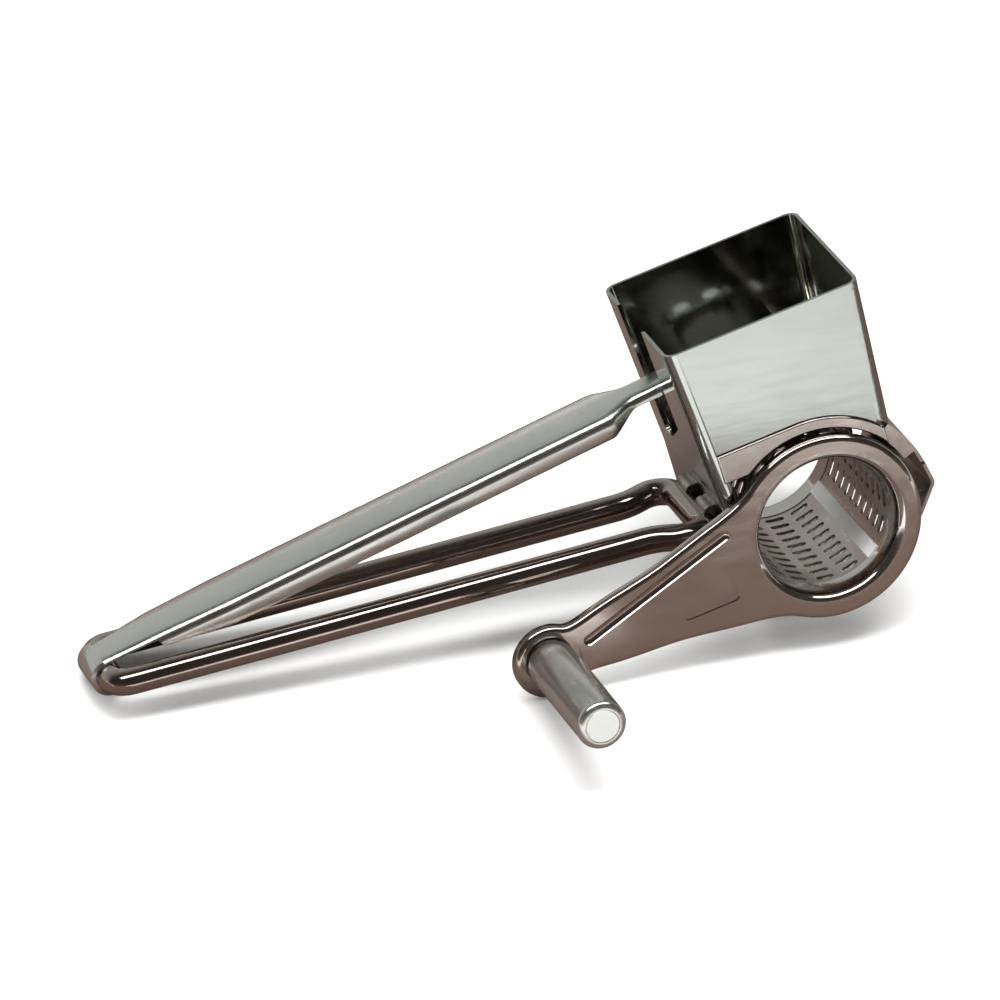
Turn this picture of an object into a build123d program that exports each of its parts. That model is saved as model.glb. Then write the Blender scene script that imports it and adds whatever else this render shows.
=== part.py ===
from build123d import *
import os
from math import acos, asin, atan2, cos, degrees, hypot, radians, sin

# Rotary cabbage shredder of polished stainless steel sheet and rod, sizes in millimetres.
# Every piece is drawn in the tool's own frame: the drum's axis is the Y axis, the hopper's front wall
# stands at y = 0, the crank is in front of it (y < 0), the hopper's mouth points up along +Z and the
# handles run towards -X. At the end one placement lays all pieces down as the tool lies on a table.

# ---- hopper ----
sheet = 0.9
hopper_length = 50.6           # outside, at the mouth
hopper_depth = 48.0            # outside
hopper_mouth = 56.2            # above the drum's axis
hopper_fold = 14.0             # above the drum's axis, where the tapered side walls turn upright
hopper_bottom = -4.0           # lower edge of the rear wall
wall_slope = 0.066             # taper of the side walls
hopper_corner = 3.2            # outer radius of the folds
arch_shoulder = 19.7           # lower edge of the front wall beside the arch
arch_band = 2.9                # raised lip round the arch
arch_rise = 0.8
band_margin = 1.2              # the lip runs on past the arch into the folds
slot_rear = 36.5               # y of the handle slot's straight edge
slot_front = 18.2              # y of its other edge at the mouth
slot_knee = (20.0, 27.5)       # y, z where that edge turns in
slot_foot = (31.5, 20.5)       # y, z of its lower end
slot_corner = 2.0
guard_radius = 28.0            # outside of the flared lip under the right wall
guard_low_angle = 9.5          # degrees above the drum's axis
guard_drop = 5.5               # straight part of the flared lip, below the guard
guard_tip_angle = -24.0        # where the lip ends, curled in behind the crank's ring
flange_angle = 18.0            # lowest point of the guard's front flange
collar_wall = 1.1
collar_inside = 4.0            # how far the rear collar reaches into the hopper
collar_outside = 1.2
collar_open_angle = 120.0      # gap at the collar's lowest point

# ---- drum ----
drum_bore = 17.0
drum_sheet = 0.6
drum_start = 3.0               # y of the tube's front end
rear_rim_length = 5.5
rear_rim_overhang = 2.5        # behind the hopper
rear_rim_wall = 0.8
slot_rows = 15
slots_per_row = 10
slot_pitch = 4.1
slot_length = 4.8              # round the drum
slot_width = 1.8               # along the drum
tooth_rise = 1.4
tooth_length = 3.4
tooth_sheet = 0.4
seam_angle = -55.0
seam_width = 3.6
seam_sheet = 0.5
front_rim_wall = 0.8
front_rim_lap = 1.2            # how far the front rim laps over the tube

# ---- crank and knob ----
plate_front = -4.0             # y of the crank plate's front face
plate_sheet = 1.2
plate_edge = 2.6               # depth of the turned-back edge
plate_round = 1.4
ring_radius = 23.5
ring_opening = 19.0
eye_radius = 9.2
eye_recess_radius = 7.6
recess_depth = 0.5
crank_length = 74.3            # drum axis to knob axis
crank_angle = 183.86           # rest position about the drum's axis
ring_join_angle = 53.0         # where the arm's edges leave the ring
eye_join_angle = 125.0         # where they meet the eye
waist_places = [(0.39, 13.7), (0.58, 10.4), (0.82, 7.8)]    # share of the length, half width
groove_ends = [(0.33, 10.6), (0.86, 1.2)]                   # share of the length, above the middle
groove_radius = 1.7
groove_depth = 0.75
panel_depth = 0.35
panel_points = [(0.36, 5.2), (0.35, -6.7), (0.59, -5.6)]   # three-sided panel, in the same way
panel_corner = 1.5
knob_radius = 6.15
knob_length = 38.4
knob_round = 1.6
knob_dimple = 0.8
pin_radius = 2.4
pin_head_radius = 3.5
pin_head = 1.0
cap_radius = 4.3
cap_thickness = 1.4
washer_radius = 5.6
washer_thickness = 0.8

# ---- wire frame ----
rod = 6.6
leg_spacing = 21.8             # between the legs' centre lines
bar_span = 34.0                # cross bar between its bends
bar_height = 4.5               # cross bar above the drum's axis
flare_length = 12.0            # along X, from the cross bar to the straight legs
leg_rise = 0.156               # slope of the legs towards the tail
tail_bend = 4.4                # centre line radius at the tail
bar_bend = 5.0
flare_bend = 14.0
weld_length = 7.0
weld_radius = 1.5

# ---- press lever ----
tail_length = 172.5            # drum axis to hinge axis along X
tail_height = 25.3             # hinge above the drum's axis
lever_sheet = 1.2
lever_width = 17.2
lever_offset = 1.4             # the channel's middle is behind the middle of the rods
lever_shoulder_width = 15.4    # where the channel starts behind the curl
lever_channel_start = 15.0     # from the hinge
lever_full_width_at = 32.0
shoulder_length = 7.0
neck_length = 10.5
neck_width = 8.8
neck_inside = 1.5              # how far the neck reaches into the hopper
lever_flange = 5.6
neck_flange = 3.0
lever_round = 2.2
shoulder_bend = 6.0            # corner radii of the lever's plan
lever_slope = 4.0              # degrees, at rest
curl_width = 12.4
curl_end_angle = 300.0
tongue_width = 4.4
tongue_reach = 6.0             # in front of the neck
tongue_lap = 24.0              # length under the lever
tongue_pad = 9.0               # flat end on the press plate, each side of its middle
press_travel = 3.4             # degrees from rest down to the drum
press_sheet = 1.0
press_reach_angle = 92.0       # how far the press plate reaches round the drum
rivet_radius = 1.2
rivet_head_radius = 2.1
rivet_head = 0.8
rivet_spacing = 8.0

# ---- clearances ----
running = 0.06                 # radial, shafts and rims that turn
press_gap = 1.0                # press plate above the teeth when pressed down
press_side_gap = 2.2           # press plate to the front and rear walls
arch_gap = 0.8                 # crank's ring in the front arch
face_gap = 0.3                 # between the knob and its washer
lip_gap = 0.6                  # guard's lip behind the crank's ring and under the front rim

# ---- worked out from the sizes above ----
middle = hopper_depth / 2
mouth_half = hopper_length / 2
fold_half = mouth_half - wall_slope * (hopper_mouth - hopper_fold)
drum_outside = drum_bore + drum_sheet
teeth_radius = drum_outside + tooth_rise
drum_end = hopper_depth + rear_rim_overhang
tube_end = drum_end - rear_rim_length
tube_middle = (drum_start + tube_end) / 2
arch_radius = ring_radius + arch_gap
collar_bore = drum_outside + running
collar_radius = collar_bore + collar_wall
rim_seat = ring_opening + front_rim_wall
plate_back = plate_front + plate_sheet
edge_back = plate_front + plate_edge
knob_axis = (crank_length * cos(radians(crank_angle)), crank_length * sin(radians(crank_angle)))
washer_back = plate_front + recess_depth
knob_back = washer_back - washer_thickness - face_gap
knob_front = knob_back - knob_length
rod_radius = rod / 2
curl_bore = rod_radius + running
curl_radius = curl_bore + lever_sheet
bar_x = -fold_half - rod_radius
press_radius = teeth_radius + press_gap
hinge = (-tail_length, tail_height)
lever_reach = tail_length - fold_half + neck_inside        # front end of the neck, from the hinge
lever_neck_start = lever_reach - neck_length
lever_front_shoulder = lever_neck_start - shoulder_length


def facing(y):
    """Plane across the drum's axis at y, seen from the crank: its normal points to the front."""
    return Plane.XZ.offset(-y)


def annulus(outer, inner):
    """Draws a ring in the sketch that is being made."""
    Circle(outer)
    Circle(inner, mode=Mode.SUBTRACT)


# ---------------------------------------------------------------- hopper
def wall_half(z):
    return fold_half + wall_slope * (z - hopper_fold)


def hopper_block(inset, low, high):
    """Solid with the hopper's outer faces, or its inner faces when inset by the sheet."""
    corner = hopper_corner - inset
    depth = hopper_depth - 2 * inset
    with BuildPart() as block:
        for z in (hopper_fold, high):
            with BuildSketch(Plane.XY.offset(z)):
                with Locations((0, middle)):
                    RectangleRounded(2 * (wall_half(z) - inset), depth, corner)
        loft()
        with BuildSketch(Plane.XY.offset(low)):
            with Locations((0, middle)):
                RectangleRounded(2 * (fold_half - inset), depth, corner)
        extrude(amount=hopper_fold - low)
    return block.part


hopper_outside = hopper_block(0, hopper_bottom, hopper_mouth)
hopper_inside = hopper_block(sheet, hopper_bottom - 1, hopper_mouth + 1)
with BuildPart() as hopper_shell:
    add(hopper_outside)
    add(hopper_inside, mode=Mode.SUBTRACT)
    # side walls end at the drum's axis, only the rear wall goes lower
    with BuildSketch(Plane.XY.offset(hopper_bottom)):
        with Locations((0, middle - hopper_corner)):
            Rectangle(hopper_length, hopper_depth)
    extrude(amount=-hopper_bottom, mode=Mode.SUBTRACT)
    # arch in the front wall for the crank's ring
    arch_width = 2 * (fold_half - hopper_corner)
    with BuildSketch(facing(-1)):
        Circle(arch_radius)
        with Locations((0, arch_shoulder / 2)):
            Rectangle(arch_width, arch_shoulder)
        with Locations((0, arch_radius / 2)):
            Rectangle(arch_width, 2 * arch_radius, mode=Mode.INTERSECT)
    extrude(amount=-(1 + hopper_corner), mode=Mode.SUBTRACT)
    # right wall ends on the flared guard
    with BuildSketch(facing(-1)):
        Circle(guard_radius)
        with Locations((mouth_half, 0)):
            Rectangle(2 * (mouth_half - arch_width / 2), 4 * guard_radius, mode=Mode.INTERSECT)
    extrude(amount=-(1 + hopper_depth - hopper_corner), mode=Mode.SUBTRACT)
    # bearing hole in the rear wall
    with BuildSketch(facing(middle)):
        Circle(collar_radius)
    extrude(amount=-hopper_depth, mode=Mode.SUBTRACT)
    # handle slot in the left wall, open at the mouth
    with BuildSketch(Plane.YZ.offset(-mouth_half - 1)) as slot:
        with BuildLine():
            Polyline(
                (slot_front, hopper_mouth + 1), slot_knee, slot_foot,
                (slot_rear, slot_foot[1]), (slot_rear, hopper_mouth + 1), close=True,
            )
        make_face()
        fillet(slot.vertices().group_by(Axis.Y)[0], slot_corner)
    extrude(amount=mouth_half - fold_half + 6, mode=Mode.SUBTRACT)

with BuildPart() as front_arch:
    band_top = arch_radius + arch_band
    band_half = fold_half - hopper_corner + band_margin
    with BuildSketch(facing(0)):
        Circle(band_top)
        with Locations((-band_half / 2, (band_top + arch_shoulder) / 2)):
            Rectangle(band_half, band_top - arch_shoulder)
        Circle(arch_radius, mode=Mode.SUBTRACT)
        with Locations((0, arch_shoulder)):
            Rectangle(2 * band_half, 2 * (band_top - arch_shoulder), mode=Mode.INTERSECT)
        with Locations((-band_half, arch_shoulder / 2)):
            Rectangle(2 * band_half, arch_shoulder, mode=Mode.SUBTRACT)
    extrude(amount=arch_rise)
    fillet(front_arch.faces().sort_by(Axis.Y)[0].edges(), arch_rise / 2)

with BuildPart() as rear_collar:
    with BuildSketch(facing(hopper_depth - collar_inside)):
        annulus(collar_radius, collar_bore)
        reach = 2 * collar_radius
        half_gap = radians(collar_open_angle / 2)
        with BuildLine():
            Polyline(
                (0, 0), (reach * sin(half_gap), -reach * cos(half_gap)),
                (-reach * sin(half_gap), -reach * cos(half_gap)), close=True,
            )
        make_face(mode=Mode.SUBTRACT)
    extrude(amount=-(collar_inside + collar_outside))


def polar(radius, angle):
    return (radius * cos(radians(angle)), radius * sin(radians(angle)))


guard_top_angle = degrees(acos((fold_half - sheet) / guard_radius))


def guard_sector(inside, low_angle):
    """Sketch between the guard's outside and a smaller radius, down to low_angle."""
    with BuildSketch() as sector:
        with BuildLine():
            outer = CenterArc((0, 0), guard_radius, low_angle, guard_top_angle - low_angle)
            inner = CenterArc((0, 0), inside, low_angle, guard_top_angle - low_angle)
            Line(outer @ 0, inner @ 0)
            Line(outer @ 1, inner @ 1)
        make_face()
    return sector.sketch


guard_wall = guard_sector(guard_radius - sheet, guard_low_angle)
guard_flange = guard_sector(arch_radius, flange_angle)
with BuildPart() as drum_guard:
    with BuildSketch(facing(0)):
        add(guard_wall)
    extrude(amount=-(hopper_depth - hopper_corner))
    with BuildSketch(facing(0)):
        add(guard_flange)
    extrude(amount=-sheet)

with BuildPart() as guard_lip:
    root = Vector(*polar(guard_radius - sheet / 2, guard_low_angle))
    down = Vector(sin(radians(guard_low_angle)), -cos(radians(guard_low_angle)))
    tip_radius = rim_seat + lip_gap + sheet
    with BuildSketch(facing(edge_back + lip_gap)):
        with BuildLine():
            FilletPolyline(
                root, root + guard_drop * down, polar(ring_radius + lip_gap, guard_tip_angle + 5.5),
                polar(tip_radius, guard_tip_angle), radius=1.6,
            )
        trace(line_width=sheet)
    extrude(amount=-(hopper_depth - hopper_corner - edge_back - lip_gap))

# ---------------------------------------------------------------- wire frame
def leg_height(x):
    return bar_height - leg_rise * (x - bar_x)


leg_side = middle + leg_spacing / 2
with BuildPart() as wire_frame:
    with BuildLine() as half_path:
        bend_y = middle + bar_span / 2
        straight_x = bar_x - flare_length
        FilletPolyline(
            (bar_x, middle, bar_height),
            (bar_x, bend_y, bar_height),
            (straight_x, leg_side, leg_height(straight_x)),
            (hinge[0], leg_side, hinge[1]),
            (hinge[0], middle, hinge[1]),
            radius=(bar_bend, flare_bend, tail_bend),
        )
    with BuildSketch(Plane(origin=half_path.line @ 0, z_dir=half_path.line % 0)):
        Circle(rod_radius)
    sweep(path=half_path.line)
    mirror(about=facing(middle))

with BuildPart() as frame_welds:
    for y in (middle - weld_length, middle + weld_length):
        bead_z = bar_height + rod_radius * 0.8
        with BuildSketch(facing(y - weld_length / 2)):
            with Locations((-fold_half - weld_radius * 0.45, bead_z)):
                Circle(weld_radius)
            with Locations((-fold_half + weld_radius, bead_z)):
                Rectangle(2 * weld_radius, 4 * weld_radius, mode=Mode.SUBTRACT)
            with Locations((bar_x, bar_height)):
                Circle(rod_radius, mode=Mode.SUBTRACT)
        extrude(amount=-weld_length)

# ---------------------------------------------------------------- drum
row_step = 360 / (slot_rows + 1)


def slot_planes(radius):
    """Plane on the drum for each slot: local x round the drum, local y along it, z outwards."""
    planes = []
    for row in range(slot_rows):
        angle = radians(seam_angle + (row + 1) * row_step)
        outwards = Vector(cos(angle), 0, sin(angle))
        for place in range(slots_per_row):
            y = tube_middle + (place - (slots_per_row - 1) / 2) * slot_pitch
            planes.append(Plane(
                origin=radius * outwards + Vector(0, y, 0),
                x_dir=Vector(-sin(angle), 0, cos(angle)), z_dir=outwards,
            ))
    return planes


with BuildPart() as drum_shell:
    with BuildSketch(facing(drum_start)):
        annulus(drum_outside, drum_bore)
    extrude(amount=-(tube_end - drum_start))
    with BuildSketch(*slot_planes(drum_bore - 1)):
        SlotOverall(slot_length, slot_width)
    extrude(amount=drum_sheet + 2, mode=Mode.SUBTRACT)
    # each slot has a raised lip, a small ramp that starts at one end of the slot
    ramp = degrees(asin(tooth_rise / tooth_length))
    ramp_start = Pos(slot_length / 2 + 0.25, 0, -0.25) * Rot(0, ramp, 0)
    with Locations(*[plane.location * ramp_start for plane in slot_planes(drum_outside)]):
        Box(tooth_length, slot_width + 0.4, tooth_sheet, align=(Align.MAX, Align.CENTER, Align.MIN))

with BuildPart() as drum_seam:
    half_angle = degrees(seam_width / 2 / drum_bore)
    with BuildSketch(facing(drum_start)):
        with BuildLine():
            outer = CenterArc((0, 0), drum_bore, seam_angle - half_angle, 2 * half_angle)
            inner = CenterArc((0, 0), drum_bore - seam_sheet, seam_angle - half_angle, 2 * half_angle)
            Line(outer @ 0, inner @ 0)
            Line(outer @ 1, inner @ 1)
        make_face()
    extrude(amount=-(tube_end - drum_start))

with BuildPart() as drum_front_rim:
    with BuildSketch(Plane.XY):
        with BuildLine():
            Polyline(
                (ring_opening, plate_front), (rim_seat, plate_front), (rim_seat, plate_back),
                (drum_outside + front_rim_wall, drum_start - 1.5),
                (drum_outside + front_rim_wall, drum_start + front_rim_lap),
                (drum_outside, drum_start + front_rim_lap), (drum_outside, drum_start),
                (drum_bore, drum_start), (drum_bore, drum_start - 1),
            )
            Spline(
                (drum_bore, drum_start - 1), (ring_opening, plate_front),
                tangents=((0, -1), (1, -0.35)),
            )
        make_face()
    revolve(axis=Axis.Y)

with BuildPart() as drum_rear_rim:
    with BuildSketch(facing(tube_end)):
        annulus(drum_outside, drum_outside - rear_rim_wall)
    extrude(amount=-rear_rim_length)

# ---------------------------------------------------------------- crank
knob_direction = Vector(cos(radians(crank_angle)), 0, sin(radians(crank_angle)))


def crank_plane(y):
    """Local x runs from the drum's axis to the knob's; local y points down at rest."""
    return Plane(origin=(0, y, 0), x_dir=knob_direction, z_dir=(0, -1, 0))


def crank_outline(inset):
    """Ring and eye, joined by an arm whose edges leave both along their tangents."""
    ring, eye = ring_radius - inset, eye_radius - inset
    ring_join, eye_join = radians(ring_join_angle), radians(eye_join_angle)
    start = Vector(ring * cos(ring_join), ring * sin(ring_join))
    end = Vector(crank_length + eye * cos(eye_join), eye * sin(eye_join))
    waist = [(crank_length * along, half - inset) for along, half in waist_places]
    with BuildSketch() as outline:
        with BuildLine():
            edge = Spline(start, *waist, end, tangents=(
                (sin(ring_join), -cos(ring_join)), (sin(eye_join), -cos(eye_join))))
            mirror(edge, about=Plane.XZ)
            CenterArc((0, 0), ring, ring_join_angle, 360 - 2 * ring_join_angle)
            CenterArc((crank_length, 0), eye, -eye_join_angle, 2 * eye_join_angle)
        make_face()
    return outline.sketch


plate_outline = crank_outline(0)
hollow_outline = crank_outline(plate_sheet)
with BuildPart() as crank_plate:
    with BuildSketch(crank_plane(plate_front)):
        add(plate_outline)
    extrude(amount=-plate_edge)
    fillet(crank_plate.faces().sort_by(Axis.Y)[0].edges(), plate_round)
    with BuildSketch(crank_plane(plate_back)):
        add(hollow_outline)
    extrude(amount=-plate_edge, mode=Mode.SUBTRACT)
    with BuildSketch(crank_plane(plate_front)):
        Circle(rim_seat)
        with Locations((crank_length, 0)):
            Circle(pin_radius)
    extrude(amount=-plate_edge, mode=Mode.SUBTRACT)
    with BuildSketch(crank_plane(plate_front)):
        with Locations((crank_length, 0)):
            Circle(eye_recess_radius)
    extrude(amount=-recess_depth, mode=Mode.SUBTRACT)
    # long round-bottomed groove along the arm's upper edge and a sunk three-sided panel below it
    groove_plane = crank_plane(plate_front - groove_radius + groove_depth)
    groove_start, groove_end = [
        groove_plane.from_local_coords((crank_length * along, -above, 0)) for along, above in groove_ends]
    run = groove_end - groove_start
    with BuildSketch(Plane(origin=groove_start, z_dir=run)):
        Circle(groove_radius)
    extrude(amount=run.length, mode=Mode.SUBTRACT)
    with Locations(groove_start, groove_end):
        Sphere(groove_radius, mode=Mode.SUBTRACT)
    with BuildSketch(crank_plane(plate_front)) as sunk:
        with BuildLine():
            Polyline(*[(crank_length * along, -above) for along, above in panel_points], close=True)
        make_face()
        fillet(sunk.vertices(), panel_corner)
    extrude(amount=-panel_depth, mode=Mode.SUBTRACT)


def knob_plane(y):
    """Plane across the knob's axis, local x away from the drum."""
    return Plane(origin=crank_length * knob_direction + Vector(0, y, 0),
                 x_dir=knob_direction, z_dir=(0, -1, 0))


head_front = knob_front + cap_thickness
with BuildPart() as knob_pin:
    with BuildSketch(knob_plane(plate_back + pin_head)):
        Circle(pin_radius + 2)
    extrude(amount=pin_head)
    with BuildSketch(knob_plane(plate_back)):
        Circle(pin_radius)
    extrude(amount=plate_back - head_front - face_gap)
    with BuildSketch(knob_plane(head_front + face_gap + pin_head)):
        Circle(pin_head_radius)
    extrude(amount=pin_head)

with BuildPart() as knob_washer:
    with BuildSketch(knob_plane(washer_back)):
        Circle(washer_radius)
        Circle(pin_radius, mode=Mode.SUBTRACT)
    extrude(amount=washer_thickness)

with BuildPart() as knob_sleeve:
    with BuildSketch(knob_plane(knob_back)):
        Circle(knob_radius)
    extrude(amount=knob_length)
    fillet(knob_sleeve.faces().sort_by(Axis.Y)[0].edges(), knob_round)
    fillet(knob_sleeve.faces().sort_by(Axis.Y)[-1].edges(), knob_round / 4)
    with BuildSketch(knob_plane(knob_back)):
        Circle(pin_radius + running)
    extrude(amount=knob_length, mode=Mode.SUBTRACT)
    pocket = cap_thickness + 2 * face_gap + pin_head
    with BuildSketch(knob_plane(knob_front + pocket)):
        Circle(cap_radius)
    extrude(amount=pocket, mode=Mode.SUBTRACT)
    # small dimple in the side, near the washer
    with BuildSketch(Plane(knob_plane(knob_back - 4 * knob_radius / 3).origin - Vector(0, 0, knob_radius),
                           z_dir=(0, 0, 1))):
        Circle(knob_dimple)
    extrude(amount=knob_dimple, mode=Mode.SUBTRACT)

with BuildPart() as knob_cap:
    with BuildSketch(knob_plane(knob_front + cap_thickness)):
        Circle(cap_radius)
    extrude(amount=cap_thickness)
    chamfer(knob_cap.faces().sort_by(Axis.Y)[0].edges(), 0.3)

# ---------------------------------------------------------------- press lever
# The lever's own plane: origin on the hinge axis, local x along the lever at rest, local z up from it.
slope = radians(lever_slope)
along_lever = Vector(cos(slope), 0, sin(slope))
above_lever = Vector(-sin(slope), 0, cos(slope))
hinge_point = Vector(hinge[0], middle, hinge[1])


def lever_top_plane(height):
    return Plane(origin=hinge_point + height * above_lever, x_dir=along_lever, z_dir=above_lever)


def lever_side_plane(offset_y):
    """Side view of the lever: local x along it, local y above it, normal to the front."""
    return Plane(origin=hinge_point + Vector(0, offset_y, 0), x_dir=along_lever, z_dir=(0, -1, 0))


def lever_block(inset, start, low_edge):
    """Channel's outer solid, or its hollow when inset; low_edge is the flanges' lower line."""
    top = curl_radius - inset
    widths = [
        (lever_channel_start + inset, lever_shoulder_width),
        (lever_full_width_at, lever_width), (lever_front_shoulder - inset, lever_width),
        (lever_neck_start - inset, neck_width), (lever_reach + inset, neck_width),
    ]
    rear = [(along, lever_offset + width / 2 - inset) for along, width in widths]
    near = [(along, lever_offset - width / 2 + inset) for along, width in widths]
    if start == 0:
        rear.insert(0, (0, curl_width / 2))
        near.insert(0, (0, -curl_width / 2))
    with BuildPart() as block:
        with BuildSketch(lever_top_plane(top)) as plan:
            with BuildLine():
                Polyline(*rear, *reversed(near), close=True)
            make_face()
            fillet(plan.vertices().filter_by_position(
                Axis.X, lever_front_shoulder - 2, lever_neck_start + 1), shoulder_bend)
        extrude(amount=-2 * lever_flange)
        with BuildSketch(lever_side_plane(0)):
            with BuildLine():
                Polyline(*low_edge, (lever_reach + 2, top + 1), (low_edge[0][0], top + 1), close=True)
            make_face()
        extrude(amount=2 * lever_width, both=True, mode=Mode.INTERSECT)
        top_face = block.faces().sort_by(Axis(hinge_point, above_lever))[-1]
        long_edges = top_face.edges().filter_by(
            lambda edge: abs(edge.tangent_at(0.5).dot(along_lever)) > 0.7)
        fillet(long_edges, lever_round - inset)
    return block.part


lever_low = curl_radius - lever_flange
neck_low = curl_radius - neck_flange
strap_low = curl_radius - lever_sheet
lever_low_edge = [
    (0, strap_low), (lever_channel_start - 1, strap_low),
    (lever_channel_start, lever_low + 2.3), (lever_full_width_at, lever_low),
    (lever_front_shoulder, lever_low), (lever_neck_start, neck_low), (lever_reach + 2, neck_low),
]
hollow_low_edge = [(0, lever_low - 3), (lever_reach + 2, lever_low - 3)]
lever_outside = lever_block(0, 0, lever_low_edge)
lever_hollow = lever_block(lever_sheet, lever_channel_start + lever_sheet, hollow_low_edge)
with BuildPart() as press_lever:
    add(lever_outside)
    add(lever_hollow, mode=Mode.SUBTRACT)
    with BuildSketch(lever_side_plane(0)):
        with BuildLine():
            outer = CenterArc((0, 0), curl_radius, 90, curl_end_angle - 90)
            inner = CenterArc((0, 0), curl_bore, 90, curl_end_angle - 90)
            Line(outer @ 0, inner @ 0)
            Line(outer @ 1, inner @ 1)
        make_face()
    extrude(amount=curl_width / 2, both=True)

# ---------------------------------------------------------------- press plate and its tongue
# Pressed down, the plate lies round the drum; at rest the lever has lifted it by press_travel.
lift = radians(press_travel)
from_hinge = (-hinge[0], -hinge[1])
press_centre = (
    hinge[0] + from_hinge[0] * cos(lift) - from_hinge[1] * sin(lift),
    hinge[1] + from_hinge[0] * sin(lift) + from_hinge[1] * cos(lift),
)
press_outside = press_radius + press_sheet
tongue_middle = middle + lever_offset
press_width = hopper_depth - 2 * (sheet + press_side_gap)


def press_point(along, up):
    """Point of the X-Z plane, measured from the press plate's centre in the plate's directions."""
    return (press_centre[0] + along * cos(lift) - up * sin(lift),
            press_centre[1] + along * sin(lift) + up * cos(lift))


def lever_point(along, up):
    """Point of the X-Z plane, measured from the hinge in the lever's directions."""
    return (hinge[0] + along * cos(slope) - up * sin(slope),
            hinge[1] + along * sin(slope) + up * cos(slope))


def rivet_plane(along):
    x, z = press_point(along, press_outside + lever_sheet)
    return Plane(origin=(x, tongue_middle, z), x_dir=(0, 1, 0), z_dir=(-sin(lift), 0, cos(lift)))


rivet_places = (-rivet_spacing / 2, rivet_spacing / 2)
with BuildPart() as press_tongue:
    under_lever = curl_radius - 1.5 * lever_sheet
    pad_height = press_outside + lever_sheet / 2
    with BuildSketch(facing(tongue_middle)):
        with BuildLine():
            FilletPolyline(
                lever_point(lever_reach - tongue_lap, under_lever),
                lever_point(lever_reach + tongue_reach, under_lever),
                press_point(-tongue_pad, pad_height),
                press_point(tongue_pad, pad_height),
                radius=3,
            )
        trace(line_width=lever_sheet)
    extrude(amount=tongue_width / 2, both=True)
    with BuildSketch(*[rivet_plane(along) for along in rivet_places]):
        Circle(rivet_radius)
    extrude(amount=-2 * lever_sheet, mode=Mode.SUBTRACT)

with BuildPart() as press_plate:
    with BuildSketch(facing(middle)):
        with BuildLine():
            start = 90 + press_travel - press_reach_angle / 2
            outer = CenterArc(press_centre, press_outside, start, press_reach_angle)
            inner = CenterArc(press_centre, press_radius, start, press_reach_angle)
            Line(outer @ 0, inner @ 0)
            Line(outer @ 1, inner @ 1)
        make_face()
    extrude(amount=press_width / 2, both=True)
    with BuildSketch(*[rivet_plane(along) for along in rivet_places]):
        Circle(rivet_radius)
    extrude(amount=-3 * (lever_sheet + press_sheet), mode=Mode.SUBTRACT)

with BuildPart() as press_rivets:
    with BuildSketch(*[rivet_plane(along) for along in rivet_places]):
        Circle(rivet_radius)
    extrude(amount=-(lever_sheet + 0.9 * press_sheet))
    with BuildSketch(*[rivet_plane(along) for along in rivet_places]):
        Circle(rivet_head_radius)
    extrude(amount=rivet_head)

# ---------------------------------------------------------------- resting place
pieces = {
    "hopper_shell": hopper_shell, "front_arch": front_arch, "rear_collar": rear_collar,
    "drum_guard": drum_guard, "guard_lip": guard_lip, "wire_frame": wire_frame,
    "frame_welds": frame_welds,
    "drum_shell": drum_shell, "drum_seam": drum_seam, "drum_front_rim": drum_front_rim,
    "drum_rear_rim": drum_rear_rim, "crank_plate": crank_plate, "knob_pin": knob_pin,
    "knob_washer": knob_washer,
    "knob_sleeve": knob_sleeve, "knob_cap": knob_cap,
    "press_lever": press_lever, "press_tongue": press_tongue, "press_plate": press_plate,
    "press_rivets": press_rivets,
}


def table_normal(tail, eye, rim):
    """Upward direction when three round feet stand on one table.

    Each foot is a disc across the drum's axis: (x, z, radius, y). The rim is round the drum's axis.
    """
    share = (rim[3] - tail[3]) / (rim[3] - eye[3])
    by_cos = tail[1] - share * eye[1]
    by_sin = tail[0] - share * eye[0]
    radii = tail[2] - rim[2] - share * (eye[2] - rim[2])
    lean = atan2(by_sin, by_cos) + acos(radii / hypot(by_cos, by_sin))
    eye_drop = eye[2] - rim[2] - eye[0] * sin(lean) - eye[1] * cos(lean)
    roll = atan2(eye_drop, rim[3] - eye[3])
    return Vector(sin(lean) * cos(roll), -sin(roll), cos(lean) * cos(roll))


up = table_normal(
    tail=(*hinge, rod_radius, leg_side),
    eye=(*knob_axis, eye_radius, edge_back),
    rim=(0, 0, drum_outside, drum_end),
)
ahead = Vector(1, 0, 0) - up.X * up
laid_down = Plane(origin=(0, 0, 0), x_dir=ahead, z_dir=up).location.inverse()
box = Compound(children=[piece.part.moved(laid_down) for piece in pieces.values()]).bounding_box()
resting = Pos(-box.center().X, -box.center().Y, -box.min.Z) * laid_down

os.makedirs("parts", exist_ok=True)
for label, piece in pieces.items():
    piece.part.label = label
    export_step(piece.part.moved(resting), f"parts/{label}.step")
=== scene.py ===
import math
import bpy
from mathutils import Matrix, Vector


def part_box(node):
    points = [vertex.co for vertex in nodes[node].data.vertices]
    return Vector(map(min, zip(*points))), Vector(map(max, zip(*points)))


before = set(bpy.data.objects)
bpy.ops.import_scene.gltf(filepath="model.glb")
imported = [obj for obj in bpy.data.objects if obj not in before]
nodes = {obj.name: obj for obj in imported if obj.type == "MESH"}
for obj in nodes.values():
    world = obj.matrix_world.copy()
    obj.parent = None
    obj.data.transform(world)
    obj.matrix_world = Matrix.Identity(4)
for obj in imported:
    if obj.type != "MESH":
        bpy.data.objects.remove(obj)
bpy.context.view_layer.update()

# ---------------------------------------------------------------- values of the finish
stain_detail = 5.0
stain_band = (0.32, 0.68)           # part of the noise over which the colour changes
brushing_scale = 30.0
brushing_detail = 6.0
brushing_band = (0.3, 0.7)          # part of the noise over which the roughness changes
brushing_height = 0.0002            # metres
sheet_scale = 32.0
sheet_detail = 1.0
sheet_height = 0.004                # metres, before the wave's strength
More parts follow.
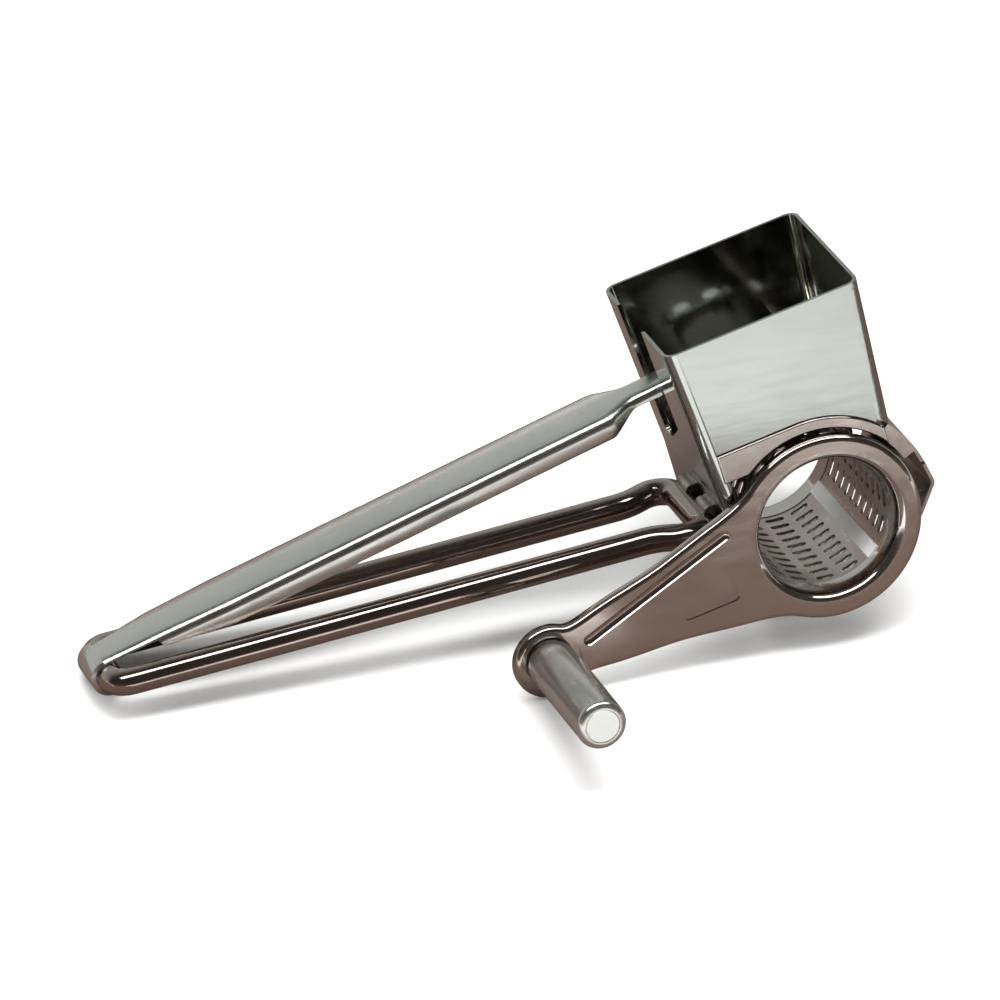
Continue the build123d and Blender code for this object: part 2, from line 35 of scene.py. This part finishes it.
lean = math.radians(-14)            # the tool lies with its hopper end raised

# ---------------------------------------------------------------- values of the studio
floor_reach = 8.0
mat_height = 0.0001                 # just above the floor, so that reflections meet it first
focal_pixels = 12246.56             # of the camera that fits the photo
photo_width = 1000
sensor = 36.0


# ---------------------------------------------------------------- materials
def noise(tree, vector, scale, detail):
    cloud = tree.nodes.new("ShaderNodeTexNoise")
    cloud.inputs["Scale"].default_value = scale
    cloud.inputs["Detail"].default_value = detail
    tree.links.new(vector, cloud.inputs["Vector"])
    return cloud.outputs["Fac"]


def crown_height(tree, vector, origin, across, bend):
    """Height of a slightly crowned sheet: it falls off with the square of the distance across."""
    moved = tree.nodes.new("ShaderNodeVectorMath")
    moved.operation = "SUBTRACT"
    moved.inputs[1].default_value = origin
    tree.links.new(vector, moved.inputs[0])
    off = tree.nodes.new("ShaderNodeVectorMath")
    off.operation = "DOT_PRODUCT"
    off.inputs[1].default_value = across
    tree.links.new(moved.outputs["Vector"], off.inputs[0])
    square = tree.nodes.new("ShaderNodeMath")
    square.operation = "MULTIPLY"
    tree.links.new(off.outputs["Value"], square.inputs[0])
    tree.links.new(off.outputs["Value"], square.inputs[1])
    fall = tree.nodes.new("ShaderNodeMath")
    fall.operation = "MULTIPLY"
    fall.inputs[1].default_value = -bend
    tree.links.new(square.outputs["Value"], fall.inputs[0])
    return fall.outputs["Value"]


def bump(tree, height, strength, distance, under):
    """Bump laid over the one before it, if there is one."""
    relief = tree.nodes.new("ShaderNodeBump")
    relief.inputs["Strength"].default_value = strength
    relief.inputs["Distance"].default_value = distance
    tree.links.new(height, relief.inputs["Height"])
    if under:
        tree.links.new(under.outputs["Normal"], relief.inputs["Normal"])
    return relief


def steel(name, dark, light, rough, grain, turn=(0, 0, 0), wave=0.0, scratch=0.06, stain=18.0,
          crowns=(), metal=1.0):
    """Stainless steel: faint stains between the two colours given, whose overall tint per part is
    painted reflection and painted shade; uneven polish, brushing along the grain, wavy sheet.
    """
    mat = bpy.data.materials.new(name)
    mat.use_nodes = True
    tree = mat.node_tree
    node, link = tree.nodes, tree.links
    shader = node["Principled BSDF"]
    shader.inputs["Metallic"].default_value = metal
    where = node.new("ShaderNodeTexCoord").outputs["Object"]

    tint = node.new("ShaderNodeValToRGB")
    for stop, place, colour in zip(tint.color_ramp.elements, stain_band, (dark, light)):
        stop.position = place
        stop.color = (*colour, 1)
    link.new(noise(tree, where, stain, stain_detail), tint.inputs["Fac"])
    link.new(tint.outputs["Color"], shader.inputs["Base Color"])

    placed = node.new("ShaderNodeMapping")
    placed.inputs["Rotation"].default_value = turn
    placed.inputs["Scale"].default_value = grain
    link.new(where, placed.inputs["Vector"])
    brushing = noise(tree, placed.outputs["Vector"], brushing_scale, brushing_detail)
    polish = node.new("ShaderNodeMapRange")
    polish.inputs["From Min"].default_value = brushing_band[0]
    polish.inputs["From Max"].default_value = brushing_band[1]
    polish.inputs["To Min"].default_value = rough[0]
    polish.inputs["To Max"].default_value = rough[1]
    link.new(brushing, polish.inputs["Value"])
    link.new(polish.outputs["Result"], shader.inputs["Roughness"])

    under = None
    for origin, across, bend in crowns:
        under = bump(tree, crown_height(tree, where, origin, across, bend), 1.0, 1.0, under)
    if wave:
        under = bump(tree, noise(tree, where, sheet_scale, sheet_detail), wave, sheet_height, under)
    lines = bump(tree, brushing, scratch, brushing_height, under)
    link.new(lines.outputs["Normal"], shader.inputs["Normal"])
    return mat


# the lever's top is crowned across its width, which runs along the drum's axis, and its sides are
# crowned across their height: a point in the middle, the direction across, and how strongly
lever_low, lever_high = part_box("press_lever")
lever_middle = (lever_low + lever_high) / 2
drum_axis = (0.0692, 0.9579, -0.2786)
lever_side = (-0.09926, 0.0217, 0.00781)
lever_up = (-0.2982, 0.2864, 0.9106)
lever_crowns = [(lever_middle, drum_axis, 16.0), (lever_side, lever_up, 45.0)]

# The base colours below differ from part to part, though the whole tool is one stainless steel. The
# rods, arches, drum, crank and rims are darker and brownish, the press plate is yellowish, the
# hopper is a darkened green-grey, and the lever and knob are paler. Apart from the welds, these
# per-part tints are painted reflection and painted shade: they stand in for what each part mirrors.
# The noise between each part's two colours is faint staining.
hopper_steel = steel("hopper_steel", (0.36, 0.378, 0.355), (0.43, 0.448, 0.425), (0.08, 0.13),
                     (3, 3, 18), wave=0.015, scratch=0.02)
arch_steel = steel("arch_steel", (0.42, 0.375, 0.345), (0.54, 0.49, 0.45), (0.10, 0.18),
                   (8, 8, 8), wave=0.03)
rod_steel = steel("rod_steel", (0.34, 0.28, 0.25), (0.48, 0.41, 0.37), (0.08, 0.15),
                  (2, 12, 12), (0, lean, 0))
weld_steel = steel("weld_steel", (0.30, 0.26, 0.22), (0.55, 0.50, 0.44), (0.25, 0.45),
                   (30, 30, 30), scratch=0.5, stain=200)
lever_steel = steel("lever_steel", (0.60, 0.60, 0.57), (0.74, 0.74, 0.71), (0.20, 0.28),
                    (1, 14, 14), (0, lean, 0), wave=0.02, scratch=0.04, crowns=lever_crowns)
press_steel = steel("press_steel", (0.54, 0.49, 0.40), (0.70, 0.65, 0.55), (0.16, 0.26),
                    (14, 2, 14), wave=0.03)
drum_steel = steel("drum_steel", (0.37, 0.32, 0.285), (0.56, 0.50, 0.455), (0.24, 0.36),
                   (14, 2, 14), scratch=0.10)
# The drum's seam gets a near-white, mostly non-metal colour, so that it shows brighter than the
# steel around it: a painted highlight.
seam_painted_highlight = steel("seam_painted_highlight", (0.82, 0.84, 0.84), (0.94, 0.95, 0.95), (0.30, 0.40),
                   (14, 2, 14), metal=0.2)
crank_steel = steel("crank_steel", (0.46, 0.395, 0.355), (0.58, 0.51, 0.465), (0.10, 0.17),
                    (2, 10, 10), wave=0.03)
rim_steel = steel("rim_steel", (0.48, 0.445, 0.415), (0.64, 0.605, 0.57), (0.08, 0.15),
                  (10, 10, 10))
knob_steel = steel("knob_steel", (0.54, 0.53, 0.50), (0.72, 0.72, 0.69), (0.20, 0.28),
                   (14, 1.5, 14), scratch=0.05, metal=0.95)
# The knob's cap and pin and the press rivets get a near-white, partly non-metal colour, so that
# they show pale and bright: a painted highlight.
cap_painted_highlight = steel("cap_painted_highlight", (0.80, 0.82, 0.79), (0.90, 0.92, 0.89), (0.34, 0.44),
                  (20, 20, 20), metal=0.7)

finish = {
    "hopper_shell": hopper_steel, "front_arch": arch_steel, "rear_collar": arch_steel,
    "drum_guard": arch_steel, "guard_lip": arch_steel,
    "wire_frame": rod_steel, "frame_welds": weld_steel,
    "drum_shell": drum_steel, "drum_seam": seam_painted_highlight,
    "drum_front_rim": rim_steel, "drum_rear_rim": rim_steel,
    "crank_plate": crank_steel, "knob_pin": cap_painted_highlight, "knob_washer": rim_steel,
    "knob_sleeve": knob_steel, "knob_cap": cap_painted_highlight,
    "press_lever": lever_steel, "press_tongue": lever_steel,
    "press_plate": press_steel, "press_rivets": cap_painted_highlight,
}
for name, mat in finish.items():
    shown = nodes[name]
    shown.data.materials.clear()
    shown.data.materials.append(mat)
    shown.data.polygons.foreach_set("material_index", [0] * len(shown.data.polygons))


# ---------------------------------------------------------------- floor and studio
def plain(name, colour):
    mat = bpy.data.materials.new(name)
    mat.use_nodes = True
    shader = mat.node_tree.nodes["Principled BSDF"]
    shader.inputs["Base Color"].default_value = (*colour, 1)
    shader.inputs["Roughness"].default_value = 0.9
    shader.inputs["Specular IOR Level"].default_value = 0.1
    return mat


def level_sheet(name, low, high, height, mat):
    """Level rectangle of the studio, not part of the object."""
    mesh = bpy.data.meshes.new(name)
    corners = [(low[0], low[1]), (high[0], low[1]), (high[0], high[1]), (low[0], high[1])]
    mesh.from_pydata([(x, y, height) for x, y in corners], [], [(0, 1, 2, 3)])
    mesh.materials.append(mat)
    panel = bpy.data.objects.new(name, mesh)
    bpy.context.scene.collection.objects.link(panel)
    return panel


floor_pale = plain("floor_pale", (0.87, 0.87, 0.86))
level_sheet("floor", (-floor_reach, -floor_reach), (floor_reach, floor_reach), 0, floor_pale)
# what the steel mirrors close by: a warmer, darker mat that only reflections see
mat_colour = plain("mat_warm", (0.135, 0.102, 0.089))
mats = [level_sheet("mirrored_mat_wide", (-0.45, -0.12), (0.6, 0.55), mat_height, mat_colour),
        level_sheet("mirrored_mat_front", (0.042, -0.385), (0.6, -0.12), mat_height, mat_colour)]
for mirrored in mats:
    mirrored.visible_camera = False
    mirrored.visible_diffuse = False
    mirrored.visible_shadow = False

# a sky that runs from the rear horizon over the top to the front horizon
world = bpy.data.worlds.new("studio")
bpy.context.scene.world = world
world.use_nodes = True
sky, join = world.node_tree.nodes, world.node_tree.links
around = sky.new("ShaderNodeTexCoord")
split = sky.new("ShaderNodeSeparateXYZ")
join.new(around.outputs["Generated"], split.inputs["Vector"])
angle = sky.new("ShaderNodeMath")
angle.operation = "ARCTAN2"
join.new(split.outputs["Z"], angle.inputs[0])
join.new(split.outputs["Y"], angle.inputs[1])
share = sky.new("ShaderNodeMapRange")
share.inputs["From Min"].default_value = 0.0
share.inputs["From Max"].default_value = math.pi
join.new(angle.outputs[0], share.inputs["Value"])
tones = sky.new("ShaderNodeValToRGB")
stops = [(0.0, (0.52, 0.54, 0.52)), (0.14, (0.50, 0.525, 0.505)), (0.24, (0.33, 0.345, 0.33)),
         (0.34, (0.11, 0.115, 0.11)), (0.42, (0.05, 0.05, 0.05)), (0.62, (0.045, 0.045, 0.04)),
         (0.85, (0.06, 0.05, 0.045)), (1.0, (0.16, 0.13, 0.11))]
ramp = tones.color_ramp
ramp.elements[0].position, ramp.elements[0].color = stops[0][0], (*stops[0][1], 1)
ramp.elements[1].position, ramp.elements[1].color = stops[-1][0], (*stops[-1][1], 1)
for place, tone in stops[1:-1]:
    ramp.elements.new(place).color = (*tone, 1)
join.new(share.outputs["Result"], tones.inputs["Fac"])
join.new(tones.outputs["Color"], sky["Background"].inputs["Color"])
sky["Background"].inputs["Strength"].default_value = 1.0


def softbox(name, place, target, size, power, mirrored_too):
    lamp = bpy.data.lights.new(name, "AREA")
    lamp.shape = "RECTANGLE"
    lamp.size, lamp.size_y = size
    lamp.energy = power
    box = bpy.data.objects.new(name, lamp)
    box.location = place
    box.rotation_euler = (Vector(place) - Vector(target)).to_track_quat("Z", "Y").to_euler()
    box.visible_glossy = mirrored_too
    bpy.context.scene.collection.objects.link(box)


softbox("top_strip", (0.0, -0.14, 1.5), (0, 0, 0), (2.2, 0.34), 18, True)
softbox("top_light", (0.1, 0.3, 1.7), (0, 0, 0), (1.6, 1.2), 30, False)
softbox("rear_light", (0.4, 1.7, 1.3), (0, 0, 0), (1.6, 0.8), 14, False)
softbox("left_light", (-1.5, -0.3, 1.2), (0, 0, 0), (0.8, 1.2), 14, False)
softbox("front_light", (0.4, -1.8, 1.1), (0, -0.3, 0), (1.8, 0.9), 24, False)

# ---------------------------------------------------------------- camera
lens = bpy.data.cameras.new("photo_view")
lens.sensor_width = sensor
lens.sensor_fit = "HORIZONTAL"
lens.lens = focal_pixels * sensor / photo_width
lens.clip_end = 50
camera = bpy.data.objects.new("photo_view", lens)
right = Vector((0.928195, -0.368637, 0.050612))
down = Vector((-0.194389, -0.596382, -0.778808))
forward = Vector((0.317281, 0.713047, -0.625217))
turned = Matrix((right, -down, -forward)).transposed().to_4x4()
camera.matrix_world = Matrix.Translation((-0.925246, -2.06114, 1.858191)) @ turned
bpy.context.scene.collection.objects.link(camera)
bpy.context.scene.camera = camera
bpy.context.scene.view_settings.view_transform = "Standard"
